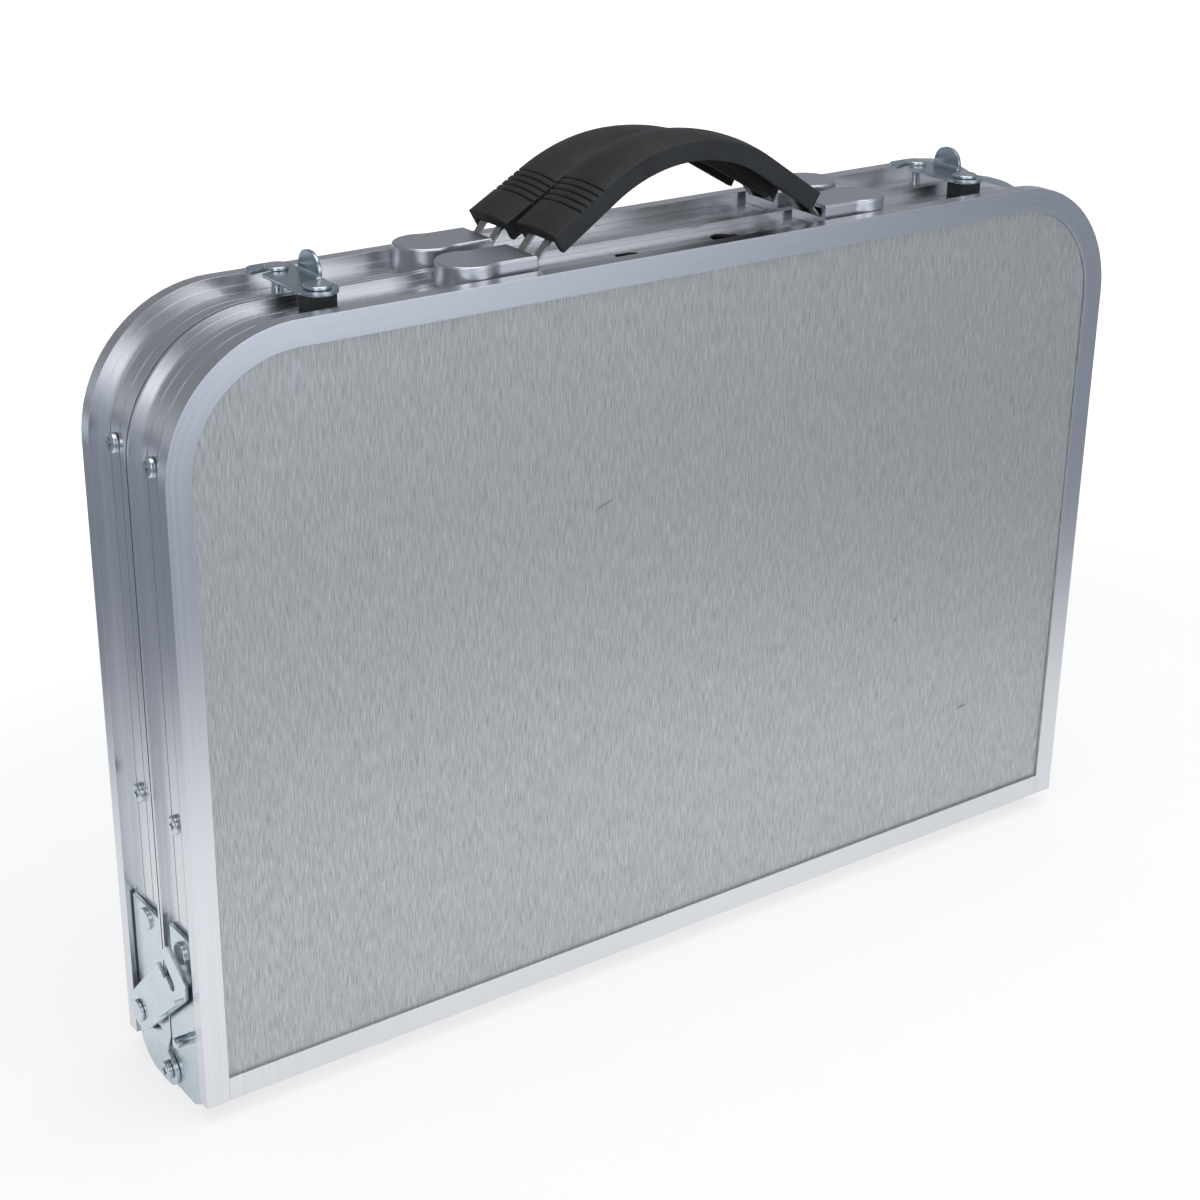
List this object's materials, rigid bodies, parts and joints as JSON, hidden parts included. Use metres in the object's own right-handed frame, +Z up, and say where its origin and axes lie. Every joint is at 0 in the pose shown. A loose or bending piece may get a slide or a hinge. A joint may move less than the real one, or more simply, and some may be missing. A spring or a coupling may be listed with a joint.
{
  "type": "folding suitcase table",
  "caption": "Slim aluminium-framed carrying case that unfolds along its bottom hinge into a table, with swing latches, lock levers, strap handles and telescopic legs stowed inside.",
  "frame": {"origin": "ground under the hinge knuckles, at the middle of the closed case seen from above", "axes": "+X along the width, +Y from the front face to the rear face, +Z up to the handles"},
  "size_m": [0.6152, 0.09, 0.4653],
  "materials": {
    "frame_aluminium": "satin anodised extrusion",
    "panel_laminate": "thin fibreboard faced with brushed metal-look laminate",
    "cast_aluminium": "satin cast",
    "grip_plastic": "soft matte moulding",
    "black_plastic": "matte moulding",
    "foot_rubber": "matte rubber",
    "leg_aluminium": "drawn tube",
    "zinc_steel": "bright zinc plate"
  },
  "bodies": {
    "front_half": {"front_frame_bow": "frame_aluminium", "front_bottom_rail": "frame_aluminium", "front_panel": "panel_laminate", "front_corner_brackets": "zinc_steel", "front_side_screws": "zinc_steel", "front_hinge_plate_left": "zinc_steel", "front_hinge_plate_right": "zinc_steel", "front_hinge_rivets": "zinc_steel", "hinge_pivot_screws": "zinc_steel", "lock_pins": "zinc_steel", "latch_block_left": "black_plastic", "latch_block_right": "black_plastic", "latch_rivets": "zinc_steel", "front_handle_cap_left": "cast_aluminium", "front_handle_cap_right": "cast_aluminium", "front_cap_screws": "zinc_steel", "front_leg_clips": "black_plastic"},
    "rear_half": {"rear_frame_bow": "frame_aluminium", "rear_bottom_rail": "frame_aluminium", "rear_panel": "panel_laminate", "rear_corner_brackets": "zinc_steel", "rear_side_screws": "zinc_steel", "rear_hinge_plate_left": "zinc_steel", "rear_hinge_plate_right": "zinc_steel", "rear_hinge_rivets": "zinc_steel", "lock_lever_rivets": "zinc_steel", "latch_studs": "zinc_steel", "rear_handle_cap_left": "cast_aluminium", "rear_handle_cap_right": "cast_aluminium", "rear_cap_screws": "zinc_steel", "rear_leg_clips": "black_plastic", "rear_nut_plates": "zinc_steel"},
    "latch_left_swing": {"latch_left": "zinc_steel"},
    "latch_right_swing": {"latch_right": "zinc_steel"},
    "lever_left": {"lock_lever_left": "zinc_steel"},
    "lever_right": {"lock_lever_right": "zinc_steel"},
    "front_handle": {"front_grip": "grip_plastic", "front_handle_strip": "zinc_steel"},
    "front_legs": {"front_leg_axle": "leg_aluminium", "front_leg_left": "leg_aluminium", "front_leg_right": "leg_aluminium"},
    "front_lower_leg_left": {"front_inner_leg_left": "leg_aluminium", "front_foot_left": "foot_rubber"},
    "front_lower_leg_right": {"front_inner_leg_right": "leg_aluminium", "front_foot_right": "foot_rubber"},
    "rear_handle": {"rear_grip": "grip_plastic", "rear_handle_strip": "zinc_steel"},
    "rear_legs": {"rear_leg_axle": "leg_aluminium", "rear_leg_left": "leg_aluminium", "rear_leg_right": "leg_aluminium"},
    "rear_lower_leg_left": {"rear_inner_leg_left": "leg_aluminium", "rear_foot_left": "foot_rubber"},
    "rear_lower_leg_right": {"rear_inner_leg_right": "leg_aluminium", "rear_foot_right": "foot_rubber"}
  },
  "joints": [
    {"name": "case_hinge", "type": "hinge", "parent": "front_half", "child": "rear_half", "pos_m": [0, 0, 0.0085], "axis": [-1, 0, 0], "range_deg": [0, 180]},
    {"name": "latch_left_pivot", "type": "hinge", "parent": "front_half", "child": "latch_left_swing", "pos_m": [-0.206, -0.0198, 0.415], "axis": [0, 0, -1], "range_deg": [0, 75]},
    {"name": "latch_right_pivot", "type": "hinge", "parent": "front_half", "child": "latch_right_swing", "pos_m": [0.206, -0.0198, 0.415], "axis": [0, 0, -1], "range_deg": [0, 75]},
    {"name": "lever_left_pivot", "type": "hinge", "parent": "rear_half", "child": "lever_left", "pos_m": [-0.3016, 0.024, 0.033], "axis": [-1, 0, 0], "range_deg": [0, 228]},
    {"name": "lever_right_pivot", "type": "hinge", "parent": "rear_half", "child": "lever_right", "pos_m": [0.3016, 0.024, 0.033], "axis": [-1, 0, 0], "range_deg": [0, 228]},
    {"name": "front_handle_lift", "type": "slide", "parent": "front_half", "child": "front_handle", "axis": [0, 0, 1], "range_m": [0, 0.0026]},
    {"name": "rear_handle_lift", "type": "slide", "parent": "rear_half", "child": "rear_handle", "axis": [0, 0, 1], "range_m": [0, 0.0026]},
    {"name": "front_leg_fold", "type": "hinge", "parent": "front_half", "child": "front_legs", "pos_m": [0, -0.0198, 0.346], "axis": [1, 0, 0], "range_deg": [0, 90]},
    {"name": "front_leg_left_extend", "type": "slide", "parent": "front_legs", "child": "front_lower_leg_left", "axis": [0, 0, -1], "range_m": [0, 0.15]},
    {"name": "front_leg_right_extend", "type": "slide", "parent": "front_legs", "child": "front_lower_leg_right", "axis": [0, 0, -1], "range_m": [0, 0.15]},
    {"name": "rear_leg_fold", "type": "hinge", "parent": "rear_half", "child": "rear_legs", "pos_m": [0, 0.0198, 0.346], "axis": [-1, 0, 0], "range_deg": [0, 90]},
    {"name": "rear_leg_left_extend", "type": "slide", "parent": "rear_legs", "child": "rear_lower_leg_left", "axis": [0, 0, -1], "range_m": [0, 0.15]},
    {"name": "rear_leg_right_extend", "type": "slide", "parent": "rear_legs", "child": "rear_lower_leg_right", "axis": [0, 0, -1], "range_m": [0, 0.15]}
  ],
  "couplings": [
    {"joint": "front_leg_fold", "follows": "case_hinge", "ratio": 0.5},
    {"joint": "front_leg_left_extend", "follows": "case_hinge", "m_per_rad": 0.0477},
    {"joint": "front_leg_right_extend", "follows": "case_hinge", "m_per_rad": 0.0477},
    {"joint": "rear_leg_fold", "follows": "case_hinge", "ratio": 0.5},
    {"joint": "rear_leg_left_extend", "follows": "case_hinge", "m_per_rad": 0.0477},
    {"joint": "rear_leg_right_extend", "follows": "case_hinge", "m_per_rad": 0.0477}
  ]
}
